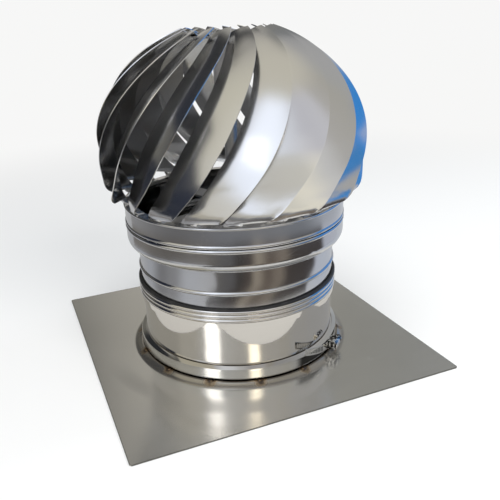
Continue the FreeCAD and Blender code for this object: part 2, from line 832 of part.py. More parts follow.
blade, foot_angle, tip_angle = make_blade()
for number, copy in enumerate(around(blade, blade_count, blade_phase), start=1):
    nodes["blade_%02d" % number] = copy
nodes["foot_rivets"] = seat_rivets(foot_rivet_circle, foot_angle, ring_top_z, tube_sheet)
nodes["tip_rivets"] = seat_rivets(tip_rivet_circle, tip_angle, disc_top_z, disc_thickness)

rotor_ring = make_rotor_ring()
for hole in around(seat_hole(foot_rivet_circle, foot_angle, ring_top_z), blade_count, blade_phase):
    rotor_ring = rotor_ring.cut(hole)
nodes["rotor_ring"] = rotor_ring


# Top disc and the pressed cap over the axle nut
def make_top_disc():
    disc = tube(disc_hole_radius, disc_radius, disc_bottom_z, disc_top_z)
    tip_holes = around(seat_hole(tip_rivet_circle, tip_angle, disc_top_z), blade_count, blade_phase)
    for hole in tip_holes + hub_screw_holes():
        disc = disc.cut(hole)
    return disc


def make_hub_cap():
    """Pressed cap with a brim on the disc and a skirt in the disc's hole."""
    skirt = disc_hole_radius - fit_gap / 2
    brim_top = disc_top_z + cap_sheet
    crown_z = disc_top_z + cap_height
    return polygon_ring([
        (skirt - cap_sheet, disc_bottom_z - cap_skirt),
        (skirt, disc_bottom_z - cap_skirt),
        (skirt, disc_top_z),
        (cap_radius, disc_top_z),
        (cap_radius, brim_top),
        (skirt, brim_top),
        (skirt - cap_slope, crown_z),
        (0.0, crown_z),
        (0.0, crown_z - cap_sheet),
        (skirt - cap_slope - cap_sheet / 2, crown_z - cap_sheet),
        (skirt - cap_sheet, disc_top_z + cap_sheet / 2),
    ])


nodes["top_disc"] = make_top_disc()
nodes["hub_cap"] = make_hub_cap()

for name in sorted(nodes):
    shape = nodes[name]
    shape.exportStep("parts/%s.step" % name)
    print(name, "valid" if shape.isValid() else "INVALID", len(shape.Solids), round(shape.Volume, 1))
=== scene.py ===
# %% [markdown]
# A rotary exhaust cowl: eighteen twisted louvre blades turn on a fixed neck, which plugs into a
# polished stub clamped to a square plate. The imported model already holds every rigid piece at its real
# size. This lesson gives the pieces their finishes, presses the louvres flatter, models the rubber lip,
# the tack welds, rivet heads, cap, screws and broken edges, and adds a studio and a camera.

# %% Load the frame
import bpy
import json
import math
import random
import numpy as np
from mathutils import Matrix, Quaternion, Vector


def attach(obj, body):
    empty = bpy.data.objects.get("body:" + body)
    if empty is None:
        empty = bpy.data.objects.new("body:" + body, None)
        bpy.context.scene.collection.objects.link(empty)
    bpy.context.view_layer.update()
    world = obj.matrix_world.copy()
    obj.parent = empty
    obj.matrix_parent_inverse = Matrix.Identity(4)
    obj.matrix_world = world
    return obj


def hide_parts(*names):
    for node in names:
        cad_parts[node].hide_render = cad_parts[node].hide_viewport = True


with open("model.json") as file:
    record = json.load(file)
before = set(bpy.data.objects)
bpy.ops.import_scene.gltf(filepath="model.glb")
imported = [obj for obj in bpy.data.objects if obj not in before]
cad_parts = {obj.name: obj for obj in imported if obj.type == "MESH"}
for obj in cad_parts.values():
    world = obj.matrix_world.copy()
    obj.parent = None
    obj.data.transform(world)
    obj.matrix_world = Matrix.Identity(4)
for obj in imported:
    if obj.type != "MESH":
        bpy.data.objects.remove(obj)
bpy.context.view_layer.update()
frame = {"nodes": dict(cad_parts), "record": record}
nodes = frame["nodes"]

# %% [markdown]
# The camera stands where the photo was taken from: a little above the blades, looking down at the front
# corner of the plate. It could be aimed by hand until the picture matches. Here the place, aim, roll and
# lens were solved from the plate's corners and the rims of the pipes, which a few numbers then hold.

# %% Camera
camera_place = Vector((-0.2660, -0.6677, 0.4068))
camera_aim = Vector((-0.0184, -0.0129, 0.1379))
camera_roll = -0.048
photo_side_px = 500
lens_px = 591.8
centre_px = (225.6, 241.9)
sensor_mm = 36.0

camera_data = bpy.data.cameras.new("camera")
camera_data.sensor_width = sensor_mm
camera_data.lens = lens_px / photo_side_px * sensor_mm
camera_data.shift_x = 0.5 - centre_px[0] / photo_side_px
camera_data.shift_y = centre_px[1] / photo_side_px - 0.5
camera = bpy.data.objects.new("camera", camera_data)
camera.location = camera_place
camera.rotation_mode = "QUATERNION"
sight = (camera_aim - camera_place).to_track_quat("-Z", "Y")
camera.rotation_quaternion = sight @ Quaternion((0, 0, 1), camera_roll)
bpy.context.collection.objects.link(camera)
bpy.context.scene.camera = camera
bpy.context.scene.view_settings.view_transform = "Standard"
print("lens", round(camera_data.lens, 2), "mm, shift",
      round(camera_data.shift_x, 4), round(camera_data.shift_y, 4))

# %% [markdown]
# The studio and every finish are trees of small nodes. Building them by hand in the node editor shows
# each step, but the same few patterns return in every tree: a mask between two numbers, a product of
# masks, a blend of two tones. These helpers name those patterns, so that a tree reads as a list of them.

# %% Helpers that build shader nodes
def feed(tree, socket, value):
    """Link a socket to another one, or give it a value. A colour may come without its alpha."""
    if isinstance(value, bpy.types.NodeSocket):
        tree.links.new(value, socket)
    elif socket.type == "RGBA" and len(value) == 3:
        socket.default_value = (*value, 1.0)
    else:
        socket.default_value = value


def add_node(tree, kind, settings=None, **inputs):
    """New node. Settings are its properties. Inputs go by name, or as i0, i1 and so on by place."""
    node = tree.nodes.new("ShaderNode" + kind)
    for key, value in (settings or {}).items():
        setattr(node, key, value)
    for key, value in inputs.items():
        by_place = key[0] == "i" and key[1:].isdigit()
        feed(tree, node.inputs[int(key[1:]) if by_place else key.replace("_", " ")], value)
    return node


def by_number(values):
    return {"i%d" % place: value for place, value in enumerate(values)}


def math_node(tree, operation, *values):
    return add_node(tree, "Math", {"operation": operation}, **by_number(values)).outputs[0]


def vector_node(tree, operation, *values):
    node = add_node(tree, "VectorMath", {"operation": operation}, **by_number(values))
    return node.outputs["Value" if operation in ("LENGTH", "DOT_PRODUCT") else "Vector"]


def product(tree, first, *others):
    for other in others:
        first = math_node(tree, "MULTIPLY", first, other)
    return first


def range_node(tree, value, low, high, to_low=0.0, to_high=1.0):
    """Smooth step from to_low at the first number to to_high at the second, which may be the lower."""
    node = add_node(tree, "MapRange", {"interpolation_type": "SMOOTHSTEP"}, Value=value,
                    From_Min=low, From_Max=high, To_Min=to_low, To_Max=to_high)
    return node.outputs["Result"]


def band(tree, value, start, full, fall, end):
    """Mask that rises from start to full and falls again from fall to end."""
    return product(tree, range_node(tree, value, start, full), range_node(tree, value, end, fall))


def ramp(tree, factor, stops):
    """Colour ramp through (place, colour) stops."""
    node = add_node(tree, "ValToRGB", i0=factor)
    node.color_ramp.interpolation = "EASE"
    elements = node.color_ramp.elements
    while len(elements) < len(stops):
        elements.new(0.5)
    for element, (place, colour) in zip(elements, sorted(stops)):
        element.position = place
        element.color = (*colour, 1.0)
    return node.outputs["Color"]


def blend_colour(tree, factor, first, second):
    return add_node(tree, "Mix", {"data_type": "RGBA"}, i0=factor, i6=first, i7=second).outputs[2]


def mix_shaders(tree, factor, first, second):
    return add_node(tree, "MixShader", i0=factor, i1=first.outputs[0], i2=second.outputs[0])


def noise(tree, vector, scale, detail, **more):
    return add_node(tree, "TexNoise", Vector=vector, Scale=scale, Detail=detail, **more).outputs["Fac"]


def from_axis(tree, place):
    """Distance of a place from the upright axis."""
    return vector_node(tree, "LENGTH", vector_node(tree, "MULTIPLY", place, (1, 1, 0)))


def turn_of(tree, place):
    """Direction of a place seen from the upright axis, in radians."""
    parts = add_node(tree, "SeparateXYZ", Vector=place).outputs
    return math_node(tree, "ARCTAN2", parts["Y"], parts["X"])


def empty_material(name):
    material = bpy.data.materials.new(name)
    material.use_nodes = True
    material.node_tree.nodes.clear()
    return material, material.node_tree


# %% [markdown]
# Bright metal has almost no colour of its own: it shows the room. A plain white room would make it look
# like paper, so a studio hangs grey and coloured screens round it. Here they are one large round screen
# whose tone changes with direction. Only reflections see it, and the camera sees a pale floor and wall.
# The tones are listed by direction, in degrees to the right of the camera, with the colour at each one.

# %% Tones of the studio
def grey(value):
    return (value, value, value)


pale = (0.93, 0.93, 0.925)
mirrored_strength = 1.5  # brightness of all that only reflections see
window_strength = 2.1    # what a window adds to it

# Distances from the axis, in metres, over which the floor changes.
warm_to_near, floor_to_backdrop, swing = (0.284, 0.300), (0.45, 1.6), (0.40, 0.31)
reach_edge, brown_to_cool, cool_to_far = (-0.005, 0.010), (0.58, 0.61), (0.80, 1.15)
floor_near = [
    (-180, (0.60, 0.59, 0.57)), (-125, (0.52, 0.52, 0.53)), (-104, (0.44, 0.45, 0.48)),
    (-82, (0.24, 0.24, 0.25)), (-66, (0.30, 0.30, 0.31)), (-48, (0.50, 0.51, 0.54)),
    (-20, (0.46, 0.46, 0.47)), (40, (0.62, 0.61, 0.58)), (100, (0.52, 0.55, 0.62)),
    (180, (0.60, 0.59, 0.57))]
# Where the pale floor ends, in metres from the axis. Past it come the brown, the cool and the far tones.
floor_reach = [
    (-180, 0.27), (-160, 0.27), (-150, 0.95), (-132, 0.95), (-116, 0.478), (-27, 0.478),
    (-10, 0.305), (88, 0.305), (94, 0.42), (142, 0.60), (156, 0.27), (180, 0.27)]
floor_brown = [
    (-180, (0.05, 0.05, 0.052)), (-158, (0.05, 0.05, 0.052)), (-146, (0.17, 0.165, 0.16)),
    (-100, (0.15, 0.14, 0.13)), (-60, (0.10, 0.092, 0.084)), (-30, (0.13, 0.12, 0.11)),
    (-6, (0.09, 0.088, 0.09)), (3, (0.045, 0.041, 0.039)), (11, (0.06, 0.05, 0.045)),
    (19, (0.24, 0.21, 0.17)), (30, (0.11, 0.09, 0.075)), (42, (0.17, 0.145, 0.12)),
    (54, (0.05, 0.043, 0.04)), (86, (0.05, 0.045, 0.045)), (92, (0.38, 0.40, 0.46)),
    (146, (0.42, 0.43, 0.46)), (160, (0.05, 0.05, 0.052)), (180, (0.05, 0.05, 0.052))]
floor_cool = [
    (-180, (0.06, 0.06, 0.062)), (-158, (0.06, 0.06, 0.062)), (-146, grey(0.34)),
    (-120, (0.22, 0.22, 0.225)), (-50, (0.125, 0.125, 0.13)), (0, (0.16, 0.165, 0.18)),
    (60, (0.17, 0.18, 0.20)), (100, (0.34, 0.36, 0.40)), (146, (0.40, 0.42, 0.46)),
    (160, (0.06, 0.06, 0.062)), (180, (0.06, 0.06, 0.062))]
floor_far = [
    (-180, (0.08, 0.08, 0.082)), (-150, (0.08, 0.08, 0.09)), (-120, (0.015, 0.017, 0.025)),
    (-84, (0.02, 0.024, 0.035)), (-76, (0.34, 0.32, 0.27)), (-10, (0.40, 0.39, 0.35)),
    (26, (0.66, 0.63, 0.54)), (50, grey(0.40)), (60, (0.05, 0.20, 0.48)),
    (130, (0.05, 0.20, 0.48)), (142, (0.30, 0.31, 0.33)), (160, (0.08, 0.08, 0.082)),
    (180, (0.08, 0.08, 0.082))]
wall_low = [
    (-180, (0.34, 0.33, 0.31)), (-84, (0.46, 0.44, 0.37)), (-56, (0.50, 0.49, 0.46)),
    (-42, (0.76, 0.81, 0.91)), (-28, (0.76, 0.81, 0.91)), (-12, (0.44, 0.43, 0.40)),
    (10, (0.46, 0.45, 0.41)), (26, (0.66, 0.63, 0.54)), (42, grey(0.46)),
    (58, (0.35, 0.34, 0.32)), (84, (0.33, 0.32, 0.30)), (92, (0.03, 0.20, 0.55)),
    (136, (0.03, 0.19, 0.50)), (146, (0.32, 0.34, 0.37)), (180, (0.34, 0.33, 0.31))]
wall_high = [
    (-180, (0.30, 0.29, 0.27)), (-90, (0.46, 0.44, 0.37)), (-54, (0.50, 0.48, 0.42)),
    (-46, (0.58, 0.60, 0.66)), (-34, (0.82, 0.87, 0.97)), (-16, (0.80, 0.85, 0.95)),
    (2, (0.56, 0.58, 0.63)), (20, (0.42, 0.42, 0.455)), (42, (0.46, 0.46, 0.49)),
    (54, (0.34, 0.33, 0.31)), (90, (0.32, 0.31, 0.28)), (102, (0.31, 0.31, 0.30)),
    (122, grey(0.31)), (146, grey(0.30)), (156, (0.15, 0.155, 0.16)),
    (166, (0.16, 0.162, 0.155)), (176, (0.27, 0.262, 0.243)), (180, (0.30, 0.29, 0.27))]
# Direction, half width, bottom, top, share that a first reflection sees, colour.
windows = [
    (-32, 9, 0.30, 0.64, 0.25, (0.95, 0.96, 1.0)),
    (17, 6, 0.30, 0.62, 0.04, (1.0, 0.93, 0.80))]
print("wall tones", len(wall_low), "low,", len(wall_high), "high, and", len(windows), "windows")

# %% [markdown]
# The floor and the screen could each be one plain tone, and then every wall of the cowl would look
# painted. Each is a chain of masks instead. On the floor they go by distance from the axis, and on the
# screen by height, which is 0 at the level of the plate and 1 straight up.

# %% Studio: world, floor, reflection screen and lamps
camera_azimuth = math.degrees(math.atan2(camera_place.y, camera_place.x))


def at(angle):
    """Place on a ramp of an angle to the right of the camera, in degrees: 0.5 is the camera's side."""
    return 0.5 + angle / 360


def turn_on_ramp(tree, vector):
    """Direction of a point seen from the axis, as such a place."""
    turned = add_node(tree, "Mapping", Vector=vector, Rotation=(0, 0, -math.radians(camera_azimuth)))
    return add_node(tree, "TexGradient", {"gradient_type": "RADIAL"}, Vector=turned.outputs[0]).outputs["Fac"]


def turn_ramp(tree, turn, stops):
    return ramp(tree, turn, [(at(angle), colour) for angle, colour in stops])


def turn_mask(tree, turn, start, full):
    return range_node(tree, turn, at(start), at(full))


def turn_band(tree, turn, *angles):
    return band(tree, turn, *map(at, angles))


def make_world():
    """Dim cool light from all sides. The camera and reflections see the pale backdrop in its place."""
    world = bpy.data.worlds.new("studio_world")
    bpy.context.scene.world = world
    world.use_nodes = True
    tree = world.node_tree
    tree.nodes.clear()
    path = add_node(tree, "LightPath").outputs
    seen = math_node(tree, "MAXIMUM", path["Is Camera Ray"], path["Is Glossy Ray"])
    seen = math_node(tree, "MAXIMUM", seen, path["Is Transmission Ray"])
    ambient = add_node(tree, "Background", Color=(0.86, 0.88, 0.9), Strength=0.55)
    backdrop = add_node(tree, "Background", Color=pale, Strength=1.0)
    add_node(tree, "OutputWorld", Surface=mix_shaders(tree, seen, ambient, backdrop).outputs[0])


def make_floor():
    """Pale round floor that fades into the backdrop's tone away from the object.

    Reflections see it pale only near the object. How far depends on the direction, and past that come
    a dark brown zone, a cooler one and the far floor, so that the upright walls show bands.
    """
    bpy.ops.object.select_all(action="DESELECT")
    bpy.ops.mesh.primitive_circle_add(vertices=96, radius=9.0, fill_type="NGON", location=(0, 0, 0))
    floor = bpy.context.object
    floor.name = "studio_floor"
    material, tree = empty_material("studio_floor")
    place = add_node(tree, "TexCoord").outputs["Object"]
    distance = vector_node(tree, "LENGTH", place)
    turn = turn_on_ramp(tree, place)
    mirrored = add_node(tree, "LightPath").outputs["Is Glossy Ray"]
    # Next to the plate the floor is warm and pale in all directions.
    near = blend_colour(tree, range_node(tree, distance, *warm_to_near), (0.74, 0.725, 0.70),
                        turn_ramp(tree, turn, floor_near))
    lit = add_node(tree, "BsdfDiffuse", Color=blend_colour(tree, mirrored, (0.90, 0.90, 0.895), near))
    glow = add_node(tree, "Emission", Color=pale, Strength=1.0)
    shown = mix_shaders(tree, range_node(tree, distance, *floor_to_backdrop), lit, glow)
    # Near the object the pattern swings round by up to 18 degrees, so the bands have slanting ends.
    swung = math_node(tree, "MULTIPLY_ADD", range_node(tree, distance, *swing), 18 / 360, turn)
    reach = turn_ramp(tree, swung, [(angle, grey(metres)) for angle, metres in floor_reach])
    past = range_node(tree, math_node(tree, "SUBTRACT", distance, reach), *reach_edge)
    brown, cool = turn_ramp(tree, swung, floor_brown), turn_ramp(tree, turn, floor_cool)
    tone = blend_colour(tree, range_node(tree, distance, *brown_to_cool), brown, cool)
    tone = blend_colour(tree, range_node(tree, distance, *cool_to_far), tone, turn_ramp(tree, turn, floor_far))
    zones = add_node(tree, "Emission", Color=tone, Strength=mirrored_strength)
    seen = mix_shaders(tree, product(tree, mirrored, past), shown, zones)
    add_node(tree, "OutputMaterial", Surface=seen.outputs[0])
    floor.data.materials.append(material)


def wall_tone(tree, turn, height):
    """Low and high tones of the walls, a blue part at the right and a warm top."""
    # The low tones reach 0.16 higher where they are blue.
    lifted = math_node(tree, "MULTIPLY_ADD", turn_band(tree, turn, 84, 92, 146, 156), -0.16, height)
    tone = blend_colour(tree, range_node(tree, lifted, 0.26, 0.46),
                        turn_ramp(tree, turn, wall_low), turn_ramp(tree, turn, wall_high))
    blue_foot = product(tree, turn_band(tree, turn, 58, 66, 94, 100), range_node(tree, height, 0.16, 0.11))
    tone = blend_colour(tree, blue_foot, tone, (0.03, 0.17, 0.42))
    pale_strip = product(tree, turn_band(tree, turn, 96, 102, 136, 146),
                         band(tree, height, 0.10, 0.14, 0.19, 0.24), 0.8)
    tone = blend_colour(tree, pale_strip, tone, (0.36, 0.39, 0.50))
    return blend_colour(tree, range_node(tree, height, 0.90, 0.985), tone, (0.44, 0.42, 0.36))


def dark_side(tree, turn, height):
    """Mask and tone of the dark side at the left, whose edge leans back higher up."""
    edge = math_node(tree, "MULTIPLY_ADD", range_node(tree, height, 0.58, 0.95), -60 / 360, at(-77))
    left = range_node(tree, math_node(tree, "SUBTRACT", edge, turn), -2 / 360, 3 / 360)
    # Low down it stops before it comes round to the back.
    end = math_node(tree, "MAXIMUM", turn_mask(tree, turn, -170, -158), range_node(tree, height, 0.70, 0.80))
    mask = product(tree, left, end, range_node(tree, height, 0.90, 0.82))
    navy = blend_colour(tree, turn_mask(tree, turn, -150, -85), (0.020, 0.021, 0.024), (0.014, 0.018, 0.032))
    flank = product(tree, band(tree, height, 0.08, 0.14, 0.40, 0.50), turn_mask(tree, turn, -98, -112))
    return mask, blend_colour(tree, flank, navy, (0.12, 0.117, 0.105))


def window(tree, turn, height, angle, half_width, low, high):
    """Mask of a tall bright opening in the screen, between two heights."""
    side = math_node(tree, "ABSOLUTE", math_node(tree, "SUBTRACT", turn, at(angle)))
    across = range_node(tree, side, (half_width + 0.6) / 360, (half_width - 0.6) / 360)
    return product(tree, across, band(tree, height, low - 0.01, low + 0.01, high - 0.02, high + 0.02))


def make_screen():
    """Large ball round the studio that only reflections see."""
    bpy.ops.object.select_all(action="DESELECT")
    bpy.ops.mesh.primitive_uv_sphere_add(segments=48, ring_count=24, radius=12.0, location=(0, 0, 0))
    screen = bpy.context.object
    screen.name = "studio_screen"
    bpy.ops.object.mode_set(mode="EDIT")
    bpy.ops.mesh.select_all(action="SELECT")
    bpy.ops.mesh.flip_normals()
    bpy.ops.object.mode_set(mode="OBJECT")
    material, tree = empty_material("studio_screen")
    direction = vector_node(tree, "NORMALIZE", add_node(tree, "TexCoord").outputs["Object"])
    turn = turn_on_ramp(tree, direction)
    height = add_node(tree, "SeparateXYZ", Vector=direction).outputs["Z"]
    # A second reflection, such as the plate seen in the pipe, meets a calmer screen: a middle grey where
    # the plate would send the dark side and the walls, and no blue.
    second = math_node(tree, "GREATER_THAN", add_node(tree, "LightPath").outputs["Ray Depth"], 1.5)
    off_plate = product(tree, band(tree, height, 0.12, 0.24, 0.70, 0.82), second)
    tone = wall_tone(tree, turn, height)
    tone = blend_colour(tree, product(tree, off_plate, 0.75), tone, grey(0.36))
    blue_off = product(tree, turn_band(tree, turn, 58, 66, 146, 154), second, 0.85)
    tone = blend_colour(tree, blue_off, tone, (0.33, 0.34, 0.37))
    dark, dark_tone = dark_side(tree, turn, height)
    dark = product(tree, dark, math_node(tree, "MULTIPLY_ADD", off_plate, -0.8, 1.0))
    tone = blend_colour(tree, dark, tone, dark_tone)
    strength = mirrored_strength
    for angle, half_width, low, high, first_share, colour in windows:
        opening = window(tree, turn, height, angle, half_width, low, high)
        opening = product(tree, opening, range_node(tree, second, 0, 1, first_share, 1.0))
        tone = blend_colour(tree, opening, tone, colour)
        strength = math_node(tree, "MULTIPLY_ADD", opening, window_strength, strength)
    glow = add_node(tree, "Emission", Color=tone, Strength=strength)
    add_node(tree, "OutputMaterial", Surface=glow.outputs[0])
    screen.data.materials.append(material)
    screen.visible_camera = False
    screen.visible_diffuse = False
    screen.visible_shadow = False
    screen.visible_volume_scatter = False


def add_lamp(name, angle, distance, height, size, power, colour=(1, 1, 1)):
    """Soft lamp at an angle to the right of the camera, aimed at the blades. It has no reflection."""
    light = bpy.data.lights.new(name, "AREA")
    light.shape = "RECTANGLE"
    light.size, light.size_y = size
    light.energy = power
    light.color = colour
    lamp = bpy.data.objects.new(name, light)
    azimuth = math.radians(camera_azimuth + angle)
    lamp.location = (distance * math.cos(azimuth), distance * math.sin(azimuth), height)
    lamp.rotation_mode = "QUATERNION"
    lamp.rotation_quaternion = (Vector((0, 0, 0.2)) - lamp.location).to_track_quat("-Z", "Y")
    lamp.visible_glossy = False
    bpy.context.collection.objects.link(lamp)


make_world()
make_floor()
make_screen()
add_lamp("window_lamp", 38, 1.9, 1.5, (1.3, 1.0), 24, (1.0, 0.985, 0.96))
add_lamp("top_lamp", -20, 0.6, 2.1, (1.6, 1.6), 22)
add_lamp("side_lamp", 115, 1.8, 0.9, (0.6, 1.0), 7, (0.85, 0.93, 1.0))
print("studio with", len(bpy.data.lights), "lamps")

# %% [markdown]
# Sheet metal is never one tone. Rolling leaves a fine grain, zinc and handling leave cloudy patches, and
# the sheet is never quite flat, so reflections waver. One node group makes all of it from Object
# coordinates, and each metal places the group with its own scale, grain direction and strength.
# Three more groups are masks: worn edges with painted glint, fine scratches and the halos that the tack welds
# burn.

# %% Shared effects
weld_count, first_weld_turn = 14, 232.4  # round the collar's foot, in degrees
weld_radius, weld_height = 0.1316, 0.0051


def new_group(name, inputs, outputs):
    """Empty node group with (label, kind, value) inputs and (label, kind) outputs."""
    tree = bpy.data.node_groups.new(name, "ShaderNodeTree")
    for label, kind, value in inputs:
        socket = tree.interface.new_socket(name=label, in_out="INPUT", socket_type="NodeSocket" + kind)
        if value is not None:
            socket.default_value = value
    for label, kind in outputs:
        tree.interface.new_socket(name=label, in_out="OUTPUT", socket_type="NodeSocket" + kind)
    return tree, tree.nodes.new("NodeGroupInput").outputs, tree.nodes.new("NodeGroupOutput").inputs


def place_group(tree, group, **inputs):
    return add_node(tree, "Group", {"node_tree": group}, **inputs).outputs


def make_sheet_group():
    """Cloudy tone, roughness and height of a rolled metal sheet."""
    tree, given, result = new_group("rolled_sheet", [
        ("Vector", "Vector", None), ("Stretch", "Vector", (1.0, 1.0, 1.0)), ("Cloud Scale", "Float", 22.0),
        ("Grain Scale", "Float", 900.0), ("Roughness", "Float", 0.25), ("Cloud", "Float", 0.08),
        ("Grain", "Float", 0.05), ("Wave", "Float", 0.4),
    ], [("Tone", "Float"), ("Roughness", "Float"), ("Height", "Float")])
    vector = given["Vector"]
    cloud = noise(tree, vector, given["Cloud Scale"], 4.0, Roughness=0.6, Distortion=0.4)
    lines = vector_node(tree, "MULTIPLY", vector, given["Stretch"])
    grain = noise(tree, lines, given["Grain Scale"], 2.0, Roughness=0.6)
    wave = noise(tree, vector, 13.0, 1.0, Roughness=0.4)
    cloud_part = product(tree, math_node(tree, "SUBTRACT", cloud, 0.5), given["Cloud"])
    grain_part = product(tree, math_node(tree, "SUBTRACT", grain, 0.5), given["Grain"])
    change = math_node(tree, "ADD", cloud_part, grain_part)
    feed(tree, result["Tone"], math_node(tree, "MULTIPLY_ADD", change, 4.0, 0.5))
    feed(tree, result["Roughness"], math_node(tree, "MULTIPLY_ADD", change, 1.5, given["Roughness"]))
    waves = product(tree, wave, given["Wave"])
    feed(tree, result["Height"], math_node(tree, "MULTIPLY_ADD", grain_part, 0.35, waves))
    return tree


def make_edge_group():
    """Mask of sheared and worn edges, which the metals also lighten as a painted glint: where a rounded normal
    leaves the true one.
    """
    tree, given, result = new_group("worn_and_glinting_edge", [("Radius", "Float", 0.0006)], [("Mask", "Float")])
    rounded = add_node(tree, "Bevel", {"samples": 6}, Radius=given["Radius"]).outputs["Normal"]
    true_normal = add_node(tree, "NewGeometry").outputs["Normal"]
    match = vector_node(tree, "DOT_PRODUCT", rounded, true_normal)
    feed(tree, result["Mask"], range_node(tree, match, 0.98, 0.72))
    return tree


def make_scratch_group():
    """Sparse fine scratches that cross a surface in several directions."""
    tree, given, result = new_group("fine_scratches", [
        ("Vector", "Vector", None), ("Scale", "Float", 60.0)], [("Mask", "Float")])
    total = None
    for turn in ((0.3, 0.2, 0.5), (1.2, 0.7, 2.1), (0.4, 1.9, 1.1)):
        mapping = add_node(tree, "Mapping", Vector=given["Vector"], Rotation=turn, Scale=(0.06, 1.0, 1.0))
        cells = add_node(tree, "TexVoronoi", {"feature": "DISTANCE_TO_EDGE"}, Vector=mapping.outputs[0],
                         Scale=given["Scale"]).outputs["Distance"]
        line = range_node(tree, cells, 0.012, 0.0)
        total = line if total is None else math_node(tree, "MAXIMUM", total, line)
    patch = noise(tree, given["Vector"], 18.0, 2.0)
    feed(tree, result["Mask"], product(tree, total, range_node(tree, patch, 0.5, 0.72)))
    return tree


def make_heat_group():
    """Mask of the burnt halos round the tack welds, which stand at even turns round the collar's foot."""
    tree, given, result = new_group("heat_halo", [
        ("Vector", "Vector", None), ("First Turn", "Float", first_weld_turn),
        ("Count", "Float", float(weld_count)), ("Radius", "Float", weld_radius),
        ("Reach", "Float", 0.0085)], [("Mask", "Float"), ("Core", "Float")])
    vector = given["Vector"]
    first = product(tree, given["First Turn"], math.pi / 180)
    turned = math_node(tree, "SUBTRACT", turn_of(tree, vector), first)
    steps = product(tree, turned, given["Count"], 0.5 / math.pi)
    # The way to the nearest weld, along the circle of welds and out from it.
    off = math_node(tree, "SUBTRACT", steps, math_node(tree, "ROUND", steps))
    along = math_node(tree, "DIVIDE", product(tree, off, 2 * math.pi), given["Count"])
    along = product(tree, along, given["Radius"])
    out = math_node(tree, "SUBTRACT", from_axis(tree, vector), given["Radius"])
    spot = math_node(tree, "ADD", product(tree, along, along), product(tree, out, out))
    ragged = math_node(tree, "SUBTRACT", noise(tree, vector, 230.0, 3.0), 0.5)
    spot = math_node(tree, "MULTIPLY_ADD", ragged, 0.007, math_node(tree, "SQRT", spot))
    share = math_node(tree, "DIVIDE", spot, given["Reach"])
    feed(tree, result["Mask"], range_node(tree, share, 1.15, 0.45))
    feed(tree, result["Core"], range_node(tree, share, 0.75, 0.25))
    return tree


sheet_group = make_sheet_group()
heat_group = make_heat_group()
edge_group = make_edge_group()
scratch_group = make_scratch_group()
print("node groups", sorted(group.name for group in bpy.data.node_groups))

# %% [markdown]
# Some marks belong to one place: weld smoke with painted shade round the collar's foot, the plate's dark
# cut edge, painted shade at the clamp's closure. They could be painted on a picture. Here each is a mask
# of where it is, so it stays sharp at any size.

# %% Marks that belong to one place
closure_turn = math.radians(298 - 360)


def weld_marks_and_shade(tree, place, colour, rough):
    """Brown weld smoke with painted shade below the clamp band round the collar's foot, and burnt halos round
    the tack welds.
    """
    # Inside 144 mm from the axis: brown weld smoke, and painted shade below the clamp band.
    smoke_and_shade = product(tree, range_node(tree, from_axis(tree, place), 0.1440, 0.1385), 0.62)
    colour = blend_colour(tree, smoke_and_shade, colour, (0.17, 0.145, 0.115))
    heat = place_group(tree, heat_group, Vector=place)
    burnt = blend_colour(tree, heat["Core"], (0.34, 0.25, 0.15), (0.055, 0.040, 0.030))
    colour = blend_colour(tree, product(tree, heat["Mask"], 0.9), colour, burnt)
    return colour, math_node(tree, "MULTIPLY_ADD", heat["Mask"], 0.22, rough)


def cut_edge(tree, place, colour, rough):
    """Dark sheared edge of the plate, in the last millimetre of its half side of 200 mm."""
    parts = add_node(tree, "SeparateXYZ", Vector=place).outputs
    far = math_node(tree, "MAXIMUM", *(math_node(tree, "ABSOLUTE", parts[axis]) for axis in "XY"))
    edge = product(tree, range_node(tree, far, 0.1992, 0.1997), 0.85)
    return blend_colour(tree, edge, colour, (0.07, 0.068, 0.065)), rough


def painted_closure_shade(tree, place, colour, rough):
    """Painted shade under the closure on the strap's closed turn, and not on its lifted tail, which is farther
    out.
    """
    off = math_node(tree, "ABSOLUTE", math_node(tree, "SUBTRACT", turn_of(tree, place), closure_turn))
    inside = range_node(tree, from_axis(tree, place), 0.1316, 0.1312)
    shade_mask = product(tree, range_node(tree, off, 0.36, 0.26), inside)
    return blend_colour(tree, shade_mask, colour, (0.045, 0.043, 0.04)), rough


def soft_rise(tree, place):
    """Normal of the plate where its sheet waves up in front of the boss."""
    facing, out = math.radians(camera_azimuth - 5), from_axis(tree, place)
    ahead = vector_node(tree, "DOT_PRODUCT", place, (math.cos(facing), math.sin(facing), 0))
    ahead = range_node(tree, math_node(tree, "DIVIDE", ahead, out), 0.45, 0.95)
    rise = product(tree, ahead, range_node(tree, out, 0.188, 0.158))
    return add_node(tree, "Bump", Height=rise, Strength=1.0, Distance=0.0011).outputs[0]


# %% [markdown]
# Every metal here is the same recipe with other numbers: a dark and a light tone mixed by the sheet
# group, roughness from the same group, a bump from its height, scratches that are a little rougher, and
# edges of bright sheared metal with a painted glint. The marks from above come on top.

# %% The recipe for metal
def start_material(name):
    material = bpy.data.materials.new(name)
    material.use_nodes = True
    return material, material.node_tree, add_node(material.node_tree, "TexCoord").outputs["Object"]


def dress(material, colour, rough, normal, metallic):
    """Give the shader what the nodes made for it."""
    shader = material.node_tree.nodes["Principled BSDF"]
    for label, value in (("Base Color", colour), ("Roughness", rough), ("Normal", normal.outputs[0]),
                         ("Metallic", metallic)):
        feed(material.node_tree, shader.inputs[label], value)
    return material


